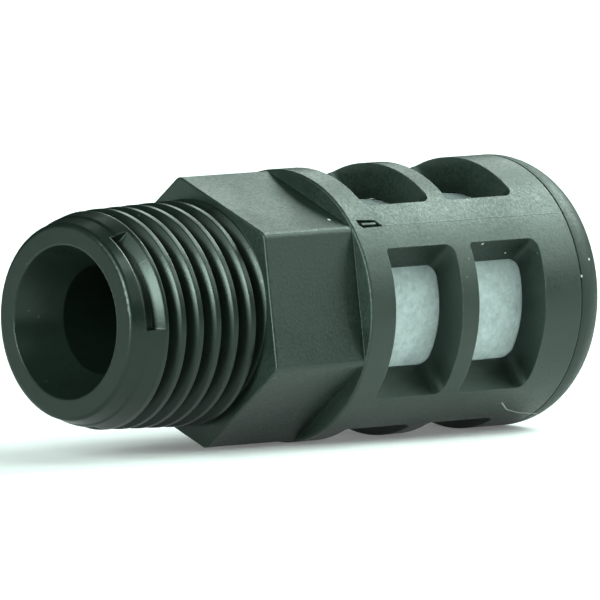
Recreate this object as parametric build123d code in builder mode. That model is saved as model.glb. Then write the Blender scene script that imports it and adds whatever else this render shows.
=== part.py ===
# Pneumatic exhaust muffler with an R 1/4 taper thread, a 14 mm hexagon and a windowed cage.
# Millimetres. X is the flow axis, thread towards -X and end cap towards +X; +Z is up.
# The origin is the centre of the hexagon's thread-side face.
from build123d import *
import math
import os

os.makedirs("parts", exist_ok=True)

# ---- driving dimensions ----

# taper thread, ISO 7-1 R 1/4
thread_length = 10.0
thread_pitch = 1.337
gauge_diameter = 13.157
gauge_length = 6.0
radius_per_mm = 1 / 32  # growth of the radius along the axis, 1:16 on the diameter
thread_depth = 0.78
root_flat = 0.20
flank_angle = 27.5
first_groove_start = -8.15
groove_start_turn = 180.0

# short piece of groove before the first crest, closed at both ends
pocket_from_angle = 130.0  # from +Y towards +Z
pocket_arc = 60.0
pocket_reach = 0.67  # from the middle of the pocket to the straight wall towards the nose
pocket_shift = 0.10  # of the pocket from the run of the groove, towards the hexagon

# lead at the inlet end: a cone, a small ledge, then a ramp up to the first crest
nose_face_radius = 5.78
nose_edge_rounding = 0.30
cone_length = 1.04
cone_end_radius = 6.08
ledge_length = 0.14
ledge_height = 0.10
ramp_end = -7.80

# inlet duct: a funnel, then a straight bore
mouth_radius = 4.50
mouth_rounding = 0.08
funnel_length = 2.75
bore_radius = 3.2

# hexagon
hex_across_flats = 14.0
hex_length = 7.0
hex_corner_rounding = 0.5
hex_edge_rounding = 0.12

# cage
body_radius = 8.1
body_edge_rounding = 0.15
chamber_radius = 6.0
chamber_start = 6.0
cage_end = 23.9
front_ring_length = 1.94
window_length = 5.4
middle_ring_length = 1.3
window_rows = 2
rib_count = 4
rib_thickness = 3.1
first_rib_angle = 150.0  # from +Y towards +Z, so on the upper front, in line with a hexagon corner
cap_side_rounding = 0.7
thread_side_rounding = 0.25

# gate scar of the moulding: a pointed hollow on the first rib, with a sliver of the runner in it
gate_position = 8.55
gate_outline = (
    (-0.96, 0.50),
    (-0.96, 0.14),
    (-0.72, -0.10),
    (0.95, -0.06),
    (0.70, 0.14),
    (0.48, 0.40),
)
gate_rounding = 0.06
gate_depth = 0.26
sliver_outline = ((-0.60, 0.12), (0.46, 0.12), (0.40, 0.25), (-0.66, 0.27))
sliver_height = 0.24

# sound-absorbing element
element_length = 16.4
element_hole_radius = 3.7

# end cap
cap_rim_length = 1.83
cap_straight_length = 0.35
cap_crown_radius = 2.3
cap_edge_rounding = 0.15
cap_joint_bevel = 0.12
spigot_length = 2.0
spigot_chamfer = 0.3

# ---- derived dimensions ----

nose_start = -thread_length
body_start = hex_length
windows_start = body_start + front_ring_length
window_pitch = window_length + middle_ring_length
element_start = chamber_start
element_end = element_start + element_length
spigot_end = element_end - spigot_length
cap_end = cage_end + cap_rim_length


def crest_radius(x):
    """Radius of the thread crests at position x along the axis."""
    return gauge_diameter / 2 + (x - nose_start - gauge_length) * radius_per_mm


# ---- cutter for the groove between the thread crests: a trapezoid along a tapering helix ----

groove_overrun = 0.75  # past the hexagon's face, where the hexagon fills it again
groove_clearance = 0.25  # above the crests
flank_run = (thread_depth + groove_clearance) * math.tan(math.radians(flank_angle))
groove_mouth = root_flat + 2 * flank_run

with BuildLine() as groove_path:
    Helix(
        pitch=thread_pitch,
        height=groove_overrun - first_groove_start,
        radius=crest_radius(first_groove_start),
        center=(first_groove_start, 0, 0),
        direction=(1, 0, 0),
        cone_angle=math.degrees(math.atan(radius_per_mm)),
    )

path_start = groove_path.line @ 0
path_radial = Vector(0, path_start.Y, path_start.Z).normalized()
groove_plane = Plane(origin=path_start, x_dir=(1, 0, 0), z_dir=Vector(1, 0, 0).cross(path_radial))

with BuildSketch(groove_plane) as groove_section:
    with BuildLine():
        Polyline(
            (-groove_mouth / 2, groove_clearance),
            (-root_flat / 2, -thread_depth),
            (root_flat / 2, -thread_depth),
            (groove_mouth / 2, groove_clearance),
            close=True,
        )
    make_face()

with BuildPart() as thread_groove:
    sweep(groove_section.sketch, path=groove_path.line, is_frenet=True)

# ---- cutter for the closed piece of groove before the first crest ----

helix_start_angle = groove_start_turn + math.degrees(math.atan2(path_start.Z, path_start.Y))
pocket_lag = (pocket_from_angle - helix_start_angle) % 360 - 360
pocket_start = first_groove_start + pocket_lag / 360 * thread_pitch + pocket_shift

with BuildLine() as pocket_path:
    Helix(
        pitch=thread_pitch,
        height=pocket_arc / 360 * thread_pitch,
        radius=crest_radius(pocket_start),
        center=(pocket_start, 0, 0),
        direction=(1, 0, 0),
    )

pocket_origin = pocket_path.line @ 0
pocket_radial = Vector(0, pocket_origin.Y, pocket_origin.Z).normalized()
pocket_plane = Plane(
    origin=pocket_origin, x_dir=(1, 0, 0), z_dir=Vector(1, 0, 0).cross(pocket_radial)
)

with BuildSketch(pocket_plane) as pocket_section:
    with BuildLine():
        Polyline(
            (-pocket_reach, groove_clearance),
            (-pocket_reach, -thread_depth),
            (root_flat / 2, -thread_depth),
            (groove_mouth / 2, groove_clearance),
            close=True,
        )
    make_face()

with BuildPart() as groove_pocket:
    sweep(pocket_section.sketch, path=pocket_path.line, is_frenet=True)

pocket_turn = pocket_from_angle - math.degrees(math.atan2(pocket_origin.Z, pocket_origin.Y))

# ---- cutter for one window: the corner between two flat-sided ribs, open outwards ----

with BuildPart() as window:
    with BuildSketch(Plane.YZ.offset(windows_start)):
        with Locations((rib_thickness / 2, rib_thickness / 2)):
            Rectangle(body_radius, body_radius, align=(Align.MIN, Align.MIN))
    extrude(amount=window_length)
    cap_side = faces().sort_by(Axis.X)[-1].edges()
    fillet([cap_side.sort_by(Axis.Y)[0], cap_side.sort_by(Axis.Z)[0]], cap_side_rounding)
    thread_side = faces().sort_by(Axis.X)[0].edges()
    fillet([thread_side.sort_by(Axis.Y)[0], thread_side.sort_by(Axis.Z)[0]], thread_side_rounding)

# ---- housing: threaded inlet, hexagon and windowed cage in one moulding ----

cone_end = nose_start + cone_length
hex_overlap = 0.6
quarter_arc = math.sqrt(0.5)

with BuildPart() as housing:
    # solid of the threaded inlet
    with BuildSketch(Plane.XZ):
        with BuildLine():
            Polyline(
                (nose_start, 0),
                (nose_start, nose_face_radius),
                (cone_end, cone_end_radius),
                (cone_end + ledge_length, cone_end_radius + ledge_height),
                (ramp_end, crest_radius(ramp_end)),
                (hex_overlap, crest_radius(hex_overlap)),
                (hex_overlap, 0),
                close=True,
            )
        make_face()
        fillet(vertices().group_by(Axis.X)[0].sort_by(Axis.Y)[-1], nose_edge_rounding)
    revolve(axis=Axis.X)
    add(thread_groove.part, rotation=(groove_start_turn, 0, 0), mode=Mode.SUBTRACT)
    add(groove_pocket.part, rotation=(pocket_turn, 0, 0), mode=Mode.SUBTRACT)

    # hexagon with a corner pointing up
    with BuildSketch(Plane.YZ):
        RegularPolygon(hex_across_flats / 2, 6, major_radius=False, rotation=30)
        fillet(vertices(), hex_corner_rounding)
    extrude(amount=hex_length)
    shoulder_edges = edges().filter_by_position(Axis.X, -0.001, 0.001)
    hex_outline = shoulder_edges.filter_by(lambda e: (e @ 0.5).length > hex_across_flats / 2 - 0.01)
    fillet(hex_outline, hex_edge_rounding)

    # cylinder of the cage
    with BuildSketch(Plane.XZ):
        with Locations((body_start, 0)):
            Rectangle(cage_end - body_start, body_radius, align=(Align.MIN, Align.MIN))
        rim_corners = vertices().group_by(Axis.Y)[-1].sort_by(Axis.X)
        fillet(rim_corners[0], body_edge_rounding)
        chamfer(rim_corners[-1], cap_joint_bevel)
    revolve(axis=Axis.X)

    # inlet duct and chamber
    with BuildSketch(Plane.XZ):
        with BuildLine():
            ThreePointArc(
                (nose_start, mouth_radius + mouth_rounding),
                (
                    nose_start + mouth_rounding * (1 - quarter_arc),
                    mouth_radius + mouth_rounding * (1 - quarter_arc),
                ),
                (nose_start + mouth_rounding, mouth_radius),
            )
            Polyline(
                (nose_start + mouth_rounding, mouth_radius),
                (nose_start + funnel_length, bore_radius),
                (chamber_start, bore_radius),
                (chamber_start, chamber_radius),
                (cage_end, chamber_radius),
                (cage_end, 0),
                (nose_start, 0),
                (nose_start, mouth_radius + mouth_rounding),
            )
        make_face()
    revolve(axis=Axis.X, mode=Mode.SUBTRACT)

    # two rows of windows around the cage
    for row in range(window_rows):
        for rib in range(rib_count):
            turn = first_rib_angle + rib * 360 / rib_count
            add(Rot(turn, 0, 0) * Pos(row * window_pitch, 0, 0) * window.part, mode=Mode.SUBTRACT)

    # gate scar: a pointed hollow with the sliver of the runner standing in it
    gate_radial = Vector(0, 1, 0).rotate(Axis.X, first_rib_angle)
    gate_plane = Plane(
        origin=Vector(gate_position, 0, 0) + gate_radial * body_radius,
        x_dir=(1, 0, 0),
        z_dir=gate_radial,
    )
    with BuildSketch(gate_plane):
        with BuildLine():
            Polyline(*gate_outline, close=True)
        make_face()
        fillet(vertices(), gate_rounding)
    extrude(amount=-gate_depth, mode=Mode.SUBTRACT)
    with BuildSketch(gate_plane.offset(-gate_depth)):
        with BuildLine():
            Polyline(*sliver_outline, close=True)
        make_face()
    extrude(amount=sliver_height)

housing.part.label = "housing"
export_step(housing.part, "parts/housing.step")

# ---- element: porous sleeve held between the chamber's shoulder and the end cap ----

with BuildPart() as element:
    with BuildSketch(Plane.YZ.offset(element_start)):
        Circle(chamber_radius)
        Circle(element_hole_radius, mode=Mode.SUBTRACT)
    extrude(amount=element_length)

element.part.label = "element"
export_step(element.part, "parts/element.step")

# ---- end cap: crowned disc, plug pressed into the cage and spigot in the sleeve ----

crown_run = cap_rim_length - cap_straight_length
crown_angle = math.degrees(math.asin(crown_run / cap_crown_radius))

with BuildPart() as end_cap:
    with BuildSketch(Plane.XZ):
        with BuildLine():
            Polyline(
                (cap_end, 0),
                (spigot_end, 0),
                (spigot_end, element_hole_radius - spigot_chamfer),
                (spigot_end + spigot_chamfer, element_hole_radius),
                (element_end, element_hole_radius),
                (element_end, chamber_radius),
                (cage_end, chamber_radius),
                (cage_end, body_radius - cap_joint_bevel),
                (cage_end + cap_joint_bevel, body_radius),
                (cage_end + cap_straight_length, body_radius),
            )
            crown = JernArc(
                start=(cage_end + cap_straight_length, body_radius),
                tangent=(1, 0),
                radius=cap_crown_radius,
                arc_size=-crown_angle,
            )
            Line(crown @ 1, (cap_end, 0))
        make_face()
        fillet(vertices().group_by(Axis.X)[-1].sort_by(Axis.Y)[-1], cap_edge_rounding)
    revolve(axis=Axis.X)

end_cap.part.label = "end_cap"
export_step(end_cap.part, "parts/end_cap.step")
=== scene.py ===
"""Blender scene of the pneumatic muffler: materials, fibre sleeve, floor, light and camera.

Metres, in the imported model's frame: +X runs from the threaded inlet to the end cap, +Z is up.
Angles round the axis are in degrees, from the front (-Y) towards the top.
"""

import math

import bpy
from mathutils import Matrix, Vector, noise


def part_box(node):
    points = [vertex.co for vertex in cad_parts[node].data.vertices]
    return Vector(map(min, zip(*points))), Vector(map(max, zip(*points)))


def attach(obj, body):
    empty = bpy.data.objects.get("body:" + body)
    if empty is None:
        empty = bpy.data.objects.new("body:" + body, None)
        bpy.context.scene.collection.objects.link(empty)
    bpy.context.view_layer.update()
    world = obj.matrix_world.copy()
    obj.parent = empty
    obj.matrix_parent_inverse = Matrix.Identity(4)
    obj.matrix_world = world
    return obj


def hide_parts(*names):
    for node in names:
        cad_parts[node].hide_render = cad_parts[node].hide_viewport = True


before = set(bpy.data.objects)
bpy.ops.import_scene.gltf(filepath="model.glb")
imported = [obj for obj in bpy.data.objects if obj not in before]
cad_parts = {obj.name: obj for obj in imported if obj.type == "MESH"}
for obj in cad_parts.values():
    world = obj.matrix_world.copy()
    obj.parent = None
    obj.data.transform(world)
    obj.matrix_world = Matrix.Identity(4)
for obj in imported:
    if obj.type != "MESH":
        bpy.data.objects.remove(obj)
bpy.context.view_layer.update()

MM = 0.001

# ---- places taken from the frame ----

body_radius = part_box("housing")[1][2]
element_low, element_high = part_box("element")


# ---- short calls for node materials ----


class Shader:
    """A material's node tree, with short calls to add and join nodes."""

    def __init__(self, name):
        self.material = bpy.data.materials.new(name)
        self.material.use_nodes = True
        self.tree = self.material.node_tree
        self.surface = self.tree.nodes["Principled BSDF"]
        self.place = self.add("ShaderNodeTexCoord").outputs["Object"]

    def add(self, kind, **settings):
        node = self.tree.nodes.new(kind)
        for key, value in settings.items():
            setattr(node, key, value)
        return node

    def join(self, value, socket):
        """Links a node's output to the socket, or sets the socket to a plain value."""
        if hasattr(value, "is_output"):
            self.tree.links.new(value, socket)
        else:
            socket.default_value = value

    def set(self, name, value):
        self.join(value, self.surface.inputs[name])

    def math(self, operation, first, second=0.0, third=0.0):
        node = self.add("ShaderNodeMath", operation=operation)
        self.join(first, node.inputs[0])
        self.join(second, node.inputs[1])
        self.join(third, node.inputs[2])
        return node.outputs[0]

    def product(self, first, *others):
        for value in others:
            first = self.math("MULTIPLY", first, value)
        return first

    def total(self, *weighted):
        """Sum of (value, weight) pairs."""
        result = 0.0
        for value, weight in weighted:
            result = self.math("MULTIPLY_ADD", value, weight, result)
        return result

    def largest(self, values):
        result = values[0]
        for value in values[1:]:
            result = self.math("MAXIMUM", result, value)
        return result

    def vector(self, operation, first, second=(0.0, 0.0, 0.0)):
        """Vector maths that gives a vector."""
        node = self.add("ShaderNodeVectorMath", operation=operation)
        self.join(first, node.inputs[0])
        self.join(second, node.inputs[1])
        return node.outputs["Vector"]

    def measure(self, operation, first, second=(0.0, 0.0, 0.0)):
        """Vector maths that gives a number."""
        node = self.add("ShaderNodeVectorMath", operation=operation)
        self.join(first, node.inputs[0])
        self.join(second, node.inputs[1])
        return node.outputs["Value"]

    def split(self):
        """The place's x, y and z."""
        node = self.add("ShaderNodeSeparateXYZ")
        self.join(self.place, node.inputs[0])
        return node.outputs

    def from_axis(self, y, z):
        """Distance from the flow axis."""
        return self.math("SQRT", self.math("MULTIPLY_ADD", y, y, self.product(z, z)))

    def turned(self, place, degrees):
        """The place turned about Z, to lay a drawn-out noise at an angle."""
        node = self.add("ShaderNodeVectorRotate", rotation_type="Z_AXIS")
        self.join(place, node.inputs["Vector"])
        node.inputs["Angle"].default_value = math.radians(degrees)
        return node.outputs["Vector"]

    def noise(self, scale, detail=3.0, roughness=0.5, place=None, distortion=0.0):
        node = self.add("ShaderNodeTexNoise")
        self.join(self.place if place is None else place, node.inputs["Vector"])
        node.inputs["Scale"].default_value = scale
        node.inputs["Detail"].default_value = detail
        node.inputs["Roughness"].default_value = roughness
        node.inputs["Distortion"].default_value = distortion
        return node.outputs["Fac"]

    def remap(self, value, low, high, to_low=0.0, to_high=1.0):
        node = self.add("ShaderNodeMapRange", clamp=True)
        self.join(value, node.inputs["Value"])
        node.inputs["From Min"].default_value = low
        node.inputs["From Max"].default_value = high
        node.inputs["To Min"].default_value = to_low
        node.inputs["To Max"].default_value = to_high
        return node.outputs[0]

    def mix(self, factor, first, second):
        """Mixes two colours."""
        node = self.add("ShaderNodeMix", data_type="RGBA")
        self.join(factor, node.inputs["Factor"])
        self.join(first, node.inputs[6])
        self.join(second, node.inputs[7])
        return node.outputs[2]

    def blend(self, factor, first, second):
        """Mixes two numbers."""
        node = self.add("ShaderNodeMix", data_type="FLOAT")
        self.join(factor, node.inputs["Factor"])
        self.join(first, node.inputs[2])
        self.join(second, node.inputs[3])
        return node.outputs[0]

    def bump(self, height, distance, strength, under=None):
        node = self.add("ShaderNodeBump")
        node.inputs["Distance"].default_value = distance
        node.inputs["Strength"].default_value = strength
        self.join(height, node.inputs["Height"])
        if under is not None:
            self.join(under, node.inputs["Normal"])
        return node.outputs[0]

    def spot(self, centre, radius):
        """1 in the middle of a small ball at a place of the model, falling to 0 at its edge; mm."""
        distance = self.measure("DISTANCE", self.place, centre * MM)
        return self.remap(distance, 0.5 * radius * MM, radius * MM, 1.0, 0.0)

    def stroke(self, start, end, radius):
        """1 along a short straight scratch between two places, falling to 0 at its edge; mm."""
        along = (end - start) * MM
        offset = self.vector("SUBTRACT", self.place, start * MM)
        share = self.measure("DOT_PRODUCT", offset, along / along.length_squared)
        share = self.math("MINIMUM", share, 1.0)
        share = self.math("MAXIMUM", share, 0.0)
        nearest = self.vector("MULTIPLY", share, along)
        distance = self.measure("DISTANCE", offset, nearest)
        return self.remap(distance, 0.3 * radius * MM, radius * MM, 1.0, 0.0)


# ---- single marks on the skin, in mm ----

HEXAGON_FLAT = 7.0  # from the axis
HEXAGON_FACING = 60.0  # of the upper front flat
RIB_THICKNESS = 3.1
RIB_FACING = 30.0  # of the upper front rib
CAGE_RADIUS = body_radius / MM


def on_skin(along, degrees, radius):
    """Place at a distance along the axis, turned round it from the front towards the top."""
    turn = math.radians(degrees)
    return Vector((along, -radius * math.cos(turn), radius * math.sin(turn)))


def on_hexagon(along, degrees):
    """Place on the hexagon's upper front flat."""
    return on_skin(along, degrees, HEXAGON_FLAT / math.cos(math.radians(HEXAGON_FACING - degrees)))


def on_rib_side(along, reach):
    """Place on the lower side of the upper front rib, at a reach from the axis."""
    return on_skin(along, RIB_FACING, reach) + on_skin(0.0, RIB_FACING - 90.0, RIB_THICKNESS / 2)


# light specks stuck in the skin: place and radius
SPECKS = (
    (on_hexagon(6.2, 38.0), 0.13),
    (on_rib_side(16.9, 7.7), 0.11),
    (on_rib_side(19.6, 6.5), 0.08),
    (on_skin(24.9, 8.0, 8.0), 0.10),
    (on_skin(24.0, 1.0, CAGE_RADIUS), 0.10),
)

# a small dark pit on the lead of the thread
PIT_PLACE = on_skin(-8.2, 8.0, 6.35)
PIT_RADIUS = 0.13

# a hooked light scratch across the lower cage and the cap
SCRATCH = (
    on_skin(20.1, -58.0, CAGE_RADIUS),
    on_skin(21.1, -64.0, CAGE_RADIUS),
    on_skin(22.5, -68.0, CAGE_RADIUS),
    on_skin(24.4, -71.0, CAGE_RADIUS),
)
SCRATCH_RADIUS = 0.055

# ---- dark moulded plastic ----

PLASTIC_DEEP = (0.0050, 0.0100, 0.0068, 1.0)
PLASTIC_PALE = (0.0115, 0.0200, 0.0148, 1.0)
PLASTIC_NICK = (0.004, 0.006, 0.005, 1.0)
# pale colour of worn edges, which also serves as a painted highlight along every convex edge
PLASTIC_EDGE_WEAR_AND_HIGHLIGHT = (0.11, 0.15, 0.135, 1.0)
SPECK_COLOUR = (0.62, 0.70, 0.66, 1.0)
SPECULAR_TINT = (0.88, 1.0, 0.95, 1.0)
BODY_GLOSS = 0.5
CAP_GLOSS = 0.36
THREAD_GLOSS = 0.30
# how strongly convex edges are lightened: part wear, part painted edge highlight
BODY_EDGE_WEAR_AND_HIGHLIGHT = 0.30
THREAD_EDGE_WEAR_AND_HIGHLIGHT = 0.16
BODY_ROUGHNESS = 0.45
CAP_ROUGHNESS = 0.52
THREAD_ROUGHNESS = 0.30
BODY_ROUNDING = 0.07 * MM
THREAD_ROUNDING = 0.14 * MM
CAP_CLOUD_SHIFT = 40.0 * MM  # so that the cap's clouds are not those of the cage beside it

THREAD_FADE = (-0.10 * MM, -0.02 * MM)  # along the axis, just ahead of the hexagon's face
CLOUD_SCALE = 160.0
SAND_SCALE = 5600.0
FLOW_STRETCH = (90.0, 900.0, 900.0)  # flow marks are drawn out along the axis
DUST_SCALE = 2600.0
# reach and patches of the convex-edge mask for wear and the painted edge highlight
EDGE_WEAR_AND_HIGHLIGHT_REACH = 0.22 * MM
EDGE_WEAR_AND_HIGHLIGHT_PATCH_SCALE = 1400.0

PARTING_ANGLE = math.radians(30.0)  # of the mould's parting plane, which runs through the axis
PARTING_INNER_RADIUS = 5.0 * MM  # the line is on the outside only
PARTING_HALF_WIDTH = 0.055 * MM
PARTING_WANDER = 0.10 * MM
PARTING_WANDER_SCALE = 700.0


def parting_flash(shader, y, z):
    """1 along the flash left where the halves of the mould meet."""
    across = shader.product(y, math.sin(PARTING_ANGLE))
    across = shader.math("MULTIPLY_ADD", z, math.cos(PARTING_ANGLE), across)
    wander = shader.noise(PARTING_WANDER_SCALE, detail=1.0)
    across = shader.math("MULTIPLY_ADD", wander, PARTING_WANDER, across)
    across = shader.math("ABSOLUTE", shader.math("SUBTRACT", across, PARTING_WANDER / 2))
    radius = shader.from_axis(y, z)
    outside = shader.remap(radius, PARTING_INNER_RADIUS, PARTING_INNER_RADIUS + 0.2 * MM)
    return shader.product(shader.remap(across, 0.0, PARTING_HALF_WIDTH, 1.0, 0.0), outside)


def edge_wear_and_highlight(shader):
    """1 on convex edges, broken up into patches: worn edges plus a painted edge highlight."""
    inside = shader.add("ShaderNodeAmbientOcclusion", inside=True, samples=6)
    inside.inputs["Distance"].default_value = EDGE_WEAR_AND_HIGHLIGHT_REACH
    convex = shader.remap(inside.outputs["AO"], 0.35, 0.75, 1.0, 0.0)
    patches = shader.noise(EDGE_WEAR_AND_HIGHLIGHT_PATCH_SCALE, detail=3.0, roughness=0.7)
    return shader.product(convex, shader.remap(patches, 0.42, 0.62, 0.15, 1.0))


def moulded_plastic(name, cloud_shift, gloss, body_roughness):
    """Dark grey-green engineering plastic: matt skin, smoother thread, worn edges with a painted edge
    highlight, parting line.
    """
    shader = Shader(name)
    x, y, z = shader.split()
    on_thread = shader.remap(x, *THREAD_FADE, 1.0, 0.0)

    def body_or_thread(body, thread):
        return shader.remap(on_thread, 0.0, 1.0, body, thread)

    # patterns and marks, each from 0 to 1
    shifted = shader.vector("ADD", shader.place, (cloud_shift, 0.0, 0.0))
    cloud = shader.noise(CLOUD_SCALE, detail=4.0, roughness=0.6, place=shifted)
    sand = shader.noise(SAND_SCALE, detail=2.0, roughness=0.65)
    drawn_out = shader.vector("MULTIPLY", shader.place, FLOW_STRETCH)
    flow = shader.noise(1.0, detail=3.0, roughness=0.6, place=drawn_out)
    flash = parting_flash(shader, y, z)
    pit = shader.spot(PIT_PLACE, PIT_RADIUS)
    specks = shader.largest([shader.spot(centre, radius) for centre, radius in SPECKS])
    strokes = zip(SCRATCH, SCRATCH[1:])
    scratch = shader.largest([shader.stroke(start, end, SCRATCH_RADIUS) for start, end in strokes])
    dust = shader.remap(shader.noise(DUST_SCALE, detail=0.0), 0.86, 0.90)
    pale = shader.largest([shader.product(scratch, 0.5), specks, shader.product(dust, 0.08)])

    # colour: clouds, sand and flow, then the darker thread, the worn edges with their painted edge
    # highlight, and the marks
    shade = shader.total((cloud, 0.45), (sand, 0.40), (flow, 0.15))
    colour = shader.mix(shader.remap(shade, 0.38, 0.62), PLASTIC_DEEP, PLASTIC_PALE)
    colour = shader.mix(shader.product(flash, body_or_thread(0.10, 0.45)), colour, PLASTIC_NICK)
    colour = shader.mix(shader.product(on_thread, 0.55), colour, PLASTIC_NICK)
    # painted highlight: every convex edge is lightened, partly as wear and partly standing in for the
    # light that rounded edges catch
    worn_and_highlit_edges = shader.product(edge_wear_and_highlight(shader), body_or_thread(BODY_EDGE_WEAR_AND_HIGHLIGHT, THREAD_EDGE_WEAR_AND_HIGHLIGHT))
    colour = shader.mix(worn_and_highlit_edges, colour, PLASTIC_EDGE_WEAR_AND_HIGHLIGHT)
    colour = shader.mix(shader.product(pit, 0.85), colour, PLASTIC_NICK)
    shader.set("Base Color", shader.mix(pale, colour, SPECK_COLOUR))

    # gloss: the pressed thread is smoother than the eroded skin of the hexagon and the cage
    mottle = shader.total((cloud, 0.5), (sand, 0.5))
    rough = shader.remap(mottle, 0.38, 0.62, body_roughness - 0.11, body_roughness + 0.11)
    thread_rough = shader.remap(flow, 0.3, 0.7, THREAD_ROUGHNESS - 0.03, THREAD_ROUGHNESS + 0.03)
    rough = shader.blend(on_thread, rough, thread_rough)
    shader.set("Roughness", shader.total((rough, 1.0), (pale, 0.3)))
    shader.set("IOR", 1.5)
    shader.set("Specular IOR Level", body_or_thread(gloss, THREAD_GLOSS))
    shader.set("Specular Tint", SPECULAR_TINT)

    # relief: rounded edges, fine grain, flow marks, then flash, specks and scratch, then the pit
    rounded = shader.add("ShaderNodeBevel", samples=6)
    shader.join(body_or_thread(BODY_ROUNDING, THREAD_ROUNDING), rounded.inputs["Radius"])
    grain = shader.product(sand, body_or_thread(1.0, 0.35))
    relief = shader.bump(grain, 0.011 * MM, 1.0, under=rounded.outputs[0])
    relief = shader.bump(flow, 0.006 * MM, 0.5, under=relief)
    flash_height = shader.product(flash, body_or_thread(0.5, 0.15))
    raised = shader.largest([flash_height, specks, scratch])
    relief = shader.bump(raised, 0.02 * MM, 0.8, under=relief)
    shader.set("Normal", shader.bump(shader.math("SUBTRACT", 1.0, pit), 0.05 * MM, 0.8, under=relief))
    return shader.material


# ---- felted fibre ----

FELT_PALE = (0.57, 0.645, 0.645, 1.0)
FELT_DARK = (0.36, 0.42, 0.415, 1.0)
FIBRE_LAYS = (12.0, -38.0, 64.0, 97.0)  # degrees from the axis
FIBRE_STRETCH = (900.0, 9000.0, 3000.0)
SLEEVE_RADIUS = element_high[2]


def felted_fibre(name):
    """Off-white pressed felt: crossing fibres, soft lumps and greyer clouds."""
    shader = Shader(name)
    x, y, z = shader.split()

    # the sleeve's surface rolled out flat: along the axis, round it, and away from it
    flat = shader.add("ShaderNodeCombineXYZ")
    shader.join(x, flat.inputs[0])
    shader.join(shader.product(shader.math("ARCTAN2", z, y), SLEEVE_RADIUS), flat.inputs[1])
    shader.join(shader.from_axis(y, z), flat.inputs[2])

    fibres = []
    for lay in FIBRE_LAYS:
        drawn_out = shader.vector("MULTIPLY", shader.turned(flat.outputs[0], lay), FIBRE_STRETCH)
        fibres.append(shader.noise(1.0, detail=2.0, place=drawn_out, distortion=0.4))
    weave = shader.largest(fibres)
    lumps = shader.noise(2300.0, roughness=0.6)
    cloud = shader.noise(650.0, roughness=0.6)

    shade = shader.total((weave, 0.35), (lumps, 0.35), (cloud, 0.40))
    shader.set("Base Color", shader.mix(shader.remap(shade, 0.44, 0.66), FELT_DARK, FELT_PALE))
    shader.set("Roughness", shader.remap(weave, 0.4, 0.8, 0.98, 0.82))
    shader.set("Specular IOR Level", 0.15)
    relief = shader.bump(lumps, 0.06 * MM, 0.6)
    shader.set("Normal", shader.bump(weave, 0.03 * MM, 0.7, under=relief))
    return shader.material


# ---- the fibre sleeve, a mesh of its own ----

SLEEVE_HOLE_RADIUS = 3.7 * MM
SLEEVE_EDGE = 0.45 * MM  # rounding of the outer edges
SLEEVE_HOLE_INSET = 0.1 * MM  # of the hole's wall from the ends
SLEEVE_AROUND = 300
SLEEVE_ALONG = 140
SLEEVE_INSIDE = 40
SLEEVE_CORNER = 5
FELT_SHRINK = -0.075  # mm, so that its lumps stay clear of the cage
FELT_SWELLING = 0.13  # mm, in the middle of a window
WINDOW_LENGTH = 5.4 * MM
WINDOW_MIDDLES = (11.64 * MM, 18.34 * MM)  # along the axis
WINDOW_ANGLES = (75.0, 165.0, 255.0, 345.0)
WINDOW_SPREAD = 64.0  # degrees


def sleeve_profile():
    """Closed section of the sleeve: (x, radius, outward x, outward radius, softness) per point."""
    start = element_low[0]
    end = element_high[0]
    straight = end - start - 2 * SLEEVE_EDGE
    edge_centre = SLEEVE_RADIUS - SLEEVE_EDGE
    points = []
    for step in range(SLEEVE_ALONG + 1):
        x = start + SLEEVE_EDGE + straight * step / SLEEVE_ALONG
        points.append((x, SLEEVE_RADIUS, 0.0, 1.0, 1.0))
    for step in range(1, SLEEVE_CORNER + 1):
        turn = math.pi / 2 * step / SLEEVE_CORNER
        x = end - SLEEVE_EDGE + SLEEVE_EDGE * math.sin(turn)
        radius = edge_centre + SLEEVE_EDGE * math.cos(turn)
        points.append((x, radius, math.sin(turn), math.cos(turn), 0.6))
    for step in range(SLEEVE_INSIDE + 1):
        x = end - SLEEVE_HOLE_INSET - (end - start - 2 * SLEEVE_HOLE_INSET) * step / SLEEVE_INSIDE
        points.append((x, SLEEVE_HOLE_RADIUS, 0.0, -1.0, 0.3))
    for step in range(SLEEVE_CORNER):
        turn = math.pi / 2 * (1.0 - step / SLEEVE_CORNER)
        x = start + SLEEVE_EDGE - SLEEVE_EDGE * math.sin(turn)
        radius = edge_centre + SLEEVE_EDGE * math.cos(turn)
        points.append((x, radius, -math.sin(turn), math.cos(turn), 0.6))
    return points


def swelling(x, degrees):
    """0 to 1: how far the felt swells out through the windows of the cage at this place."""
    away = min(abs(x - middle) for middle in WINDOW_MIDDLES)
    turned = min(abs((degrees - angle + 180.0) % 360.0 - 180.0) for angle in WINDOW_ANGLES)
    along = math.cos(math.pi * min(away / WINDOW_LENGTH, 0.5))
    return along * math.cos(math.pi * min(turned / WINDOW_SPREAD, 0.5))


def felt_depth(place):
    """How far the felt stands out at a place, in mm, from broad waves down to tufts."""
    broad = noise.noise(place * 420.0)
    lump = noise.noise(place * 1500.0 + Vector((7.0, 3.0, 1.0)))
    tuft = noise.noise(place * 3600.0 + Vector((2.0, 9.0, 4.0)))
    return FELT_SHRINK + 0.030 * broad + 0.028 * lump + 0.016 * tuft


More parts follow.
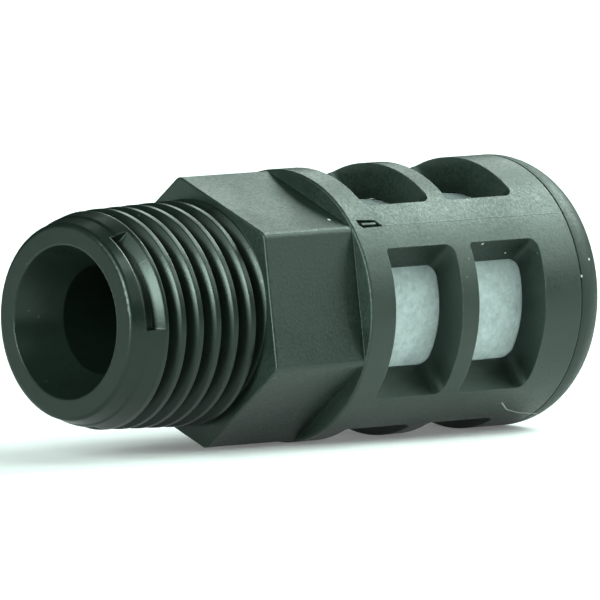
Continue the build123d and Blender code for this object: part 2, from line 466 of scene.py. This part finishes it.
def felt_sleeve():
    """Lumpy felt tube, a closed mesh; it never swells into the ribs round it."""
    profile = sleeve_profile()
    vertices = []
    for x, radius, out_x, out_radius, softness in profile:
        for step in range(SLEEVE_AROUND):
            angle = 2 * math.pi * step / SLEEVE_AROUND
            side = Vector((0.0, -math.cos(angle), math.sin(angle)))
            place = Vector((x, 0.0, 0.0)) + side * radius
            depth = felt_depth(place) * softness
            if out_radius > 0.99:  # the outer wall
                depth += FELT_SWELLING * swelling(x, math.degrees(angle))
            push = depth * MM
            if out_radius < 0.0:  # the hole's wall, which only moves into the felt
                push = -abs(push)
            vertices.append(place + Vector((out_x, 0.0, 0.0)) * push + side * (out_radius * push))
    faces = []
    rings = len(profile)
    for ring in range(rings):
        here = ring * SLEEVE_AROUND
        there = (ring + 1) % rings * SLEEVE_AROUND
        for step in range(SLEEVE_AROUND):
            after = (step + 1) % SLEEVE_AROUND
            faces.append((here + step, there + step, there + after, here + after))
    mesh = bpy.data.meshes.new("felt_sleeve")
    mesh.from_pydata(vertices, [], faces)
    mesh.polygons.foreach_set("use_smooth", [True] * len(mesh.polygons))
    made = bpy.data.objects.new("felt_sleeve", mesh)
    bpy.context.collection.objects.link(made)
    return made


# ---- materials and the sleeve onto the model ----


def cover(node, material):
    """Gives a CAD node's mesh this material alone."""
    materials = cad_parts[node].data.materials
    materials.clear()
    materials.append(material)


cover("housing", moulded_plastic("housing_plastic", 0.0, BODY_GLOSS, BODY_ROUGHNESS))
cover("end_cap", moulded_plastic("cap_plastic", CAP_CLOUD_SHIFT, CAP_GLOSS, CAP_ROUGHNESS))

sleeve = felt_sleeve()
sleeve.data.materials.append(felted_fibre("felted_fibre"))
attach(sleeve, "root")
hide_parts("element")

# ---- camera at the photograph's viewing angle ----

VIEW_AZIMUTH = math.radians(-42.26)
VIEW_ELEVATION = math.radians(-1.40)
VIEW_ROLL = math.radians(-5.59)
VIEW_DISTANCE = 1.2  # near enough for far clipping, from every side
PICTURE_WIDTH = 35.47 * MM  # at that distance
SENSOR_MM = 36.0
AIM_ALONG_AXIS = 7.05 * MM
AIM_RIGHT = 1.185 * MM
AIM_UP = 0.343 * MM

flow_axis = Vector((1.0, 0.0, 0.0))
view_back = Vector(
    (
        math.sin(VIEW_AZIMUTH) * math.cos(VIEW_ELEVATION),
        -math.cos(VIEW_AZIMUTH) * math.cos(VIEW_ELEVATION),
        math.sin(VIEW_ELEVATION),
    )
)
level_right = (-view_back).cross(Vector((0.0, 0.0, 1.0))).normalized()
level_up = level_right.cross(-view_back)
view_right = math.cos(VIEW_ROLL) * level_right + math.sin(VIEW_ROLL) * level_up
view_up = -math.sin(VIEW_ROLL) * level_right + math.cos(VIEW_ROLL) * level_up
aim = flow_axis * AIM_ALONG_AXIS + view_right * AIM_RIGHT + view_up * AIM_UP

camera_data = bpy.data.cameras.new("camera")
camera_data.lens = SENSOR_MM * VIEW_DISTANCE / PICTURE_WIDTH
camera_data.sensor_width = SENSOR_MM
camera_data.clip_start = 0.01
camera_data.clip_end = 50.0
camera = bpy.data.objects.new("camera", camera_data)
bpy.context.collection.objects.link(camera)
camera_turn = Matrix((view_right, view_up, view_back)).transposed().to_4x4()
camera.matrix_world = Matrix.Translation(aim + view_back * VIEW_DISTANCE) @ camera_turn
bpy.context.scene.camera = camera

# ---- floor: level in the picture, just below the cage, fading out far from the object ----

FLOOR_HALF = 4.0
FLOOR_GAP = 0.02 * MM
FLOOR_FADE = (0.20, 0.42)  # distance from the object
PAPER_DARK = (0.88, 0.89, 0.89, 1.0)
PAPER_LIGHT = (0.92, 0.92, 0.92, 1.0)
PAPER_GLOW = 0.15

floor_normal = view_right.cross(flow_axis).normalized()
floor_corners = [(x * FLOOR_HALF, y * FLOOR_HALF, 0.0) for x, y in ((-1, -1), (1, -1), (1, 1), (-1, 1))]
floor_mesh = bpy.data.meshes.new("floor")
floor_mesh.from_pydata(floor_corners, [], [(0, 1, 2, 3)])
floor = bpy.data.objects.new("floor", floor_mesh)
bpy.context.collection.objects.link(floor)
floor_turn = floor_normal.to_track_quat("Z", "Y").to_matrix().to_4x4()
floor.matrix_world = Matrix.Translation(-floor_normal * (body_radius + FLOOR_GAP)) @ floor_turn

paper = Shader("floor_paper")
paper.set("Base Color", paper.mix(paper.noise(60.0, detail=4.0), PAPER_DARK, PAPER_LIGHT))
paper.set("Roughness", 0.9)
paper.set("Specular IOR Level", 0.1)
paper.set("Emission Color", (1.0, 1.0, 1.0, 1.0))
paper.set("Emission Strength", PAPER_GLOW)
paper.set("Alpha", paper.remap(paper.measure("LENGTH", paper.place), *FLOOR_FADE, 1.0, 0.0))
floor_mesh.materials.append(paper.material)

# ---- light: soft boxes, placed by their direction in the picture ----

LIGHT_DISTANCE = 0.6
LIGHT_TINT = (0.82, 1.0, 0.93)

# name, azimuth and elevation in degrees, width, height, power in watts;
# azimuth 0 stands to the picture's right, 90 behind, 180 left, 270 by the camera
SOFT_BOXES = (
    ("key", 40.0, 40.0, 0.26, 0.26, 3.5),
    ("high", 345.0, 57.0, 0.20, 0.20, 1.0),
    ("right", 10.0, 26.0, 0.26, 0.30, 1.6),
    ("behind", 76.0, 37.0, 0.26, 0.30, 0.9),
    ("left", 231.0, 8.0, 0.18, 0.24, 4.8),
    ("left_fill", 244.0, 30.0, 0.26, 0.26, 0.9),
    ("high_left", 214.0, 33.0, 0.20, 0.20, 0.5),
    ("front", 315.0, 30.0, 0.26, 0.26, 0.45),
)


def soft_box(name, azimuth, elevation, width, height, power):
    """A rectangular light that faces the object from this direction."""
    turned = math.radians(azimuth)
    raised = math.radians(elevation)
    outward = view_right * math.cos(turned) - view_back * math.sin(turned)
    direction = (outward * math.cos(raised) + floor_normal * math.sin(raised)).normalized()
    data = bpy.data.lights.new(name, "AREA")
    data.shape = "RECTANGLE"
    data.size = width
    data.size_y = height
    data.energy = power
    data.color = LIGHT_TINT
    light = bpy.data.objects.new(name, data)
    bpy.context.collection.objects.link(light)
    side = floor_normal.cross(direction).normalized()
    facing = Matrix((side, direction.cross(side), direction)).transposed().to_4x4()
    light.matrix_world = Matrix.Translation(aim + direction * LIGHT_DISTANCE) @ facing


for box in SOFT_BOXES:
    soft_box(*box)

# ---- world: white where the camera sees it, and almost no light on the object ----

SKY_LIGHT = 0.01
SKY_SEEN = 1.0

world = bpy.data.worlds.new("world")
world.use_nodes = True
world_tree = world.node_tree
background = world_tree.nodes["Background"]
background.inputs["Color"].default_value = (1.0, 1.0, 1.0, 1.0)
seen = world_tree.nodes.new("ShaderNodeLightPath").outputs["Is Camera Ray"]
strength = world_tree.nodes.new("ShaderNodeMath")
strength.operation = "MULTIPLY_ADD"
world_tree.links.new(seen, strength.inputs[0])
strength.inputs[1].default_value = SKY_SEEN - SKY_LIGHT
strength.inputs[2].default_value = SKY_LIGHT
world_tree.links.new(strength.outputs[0], background.inputs["Strength"])
bpy.context.scene.world = world
bpy.context.scene.view_settings.view_transform = "Standard"
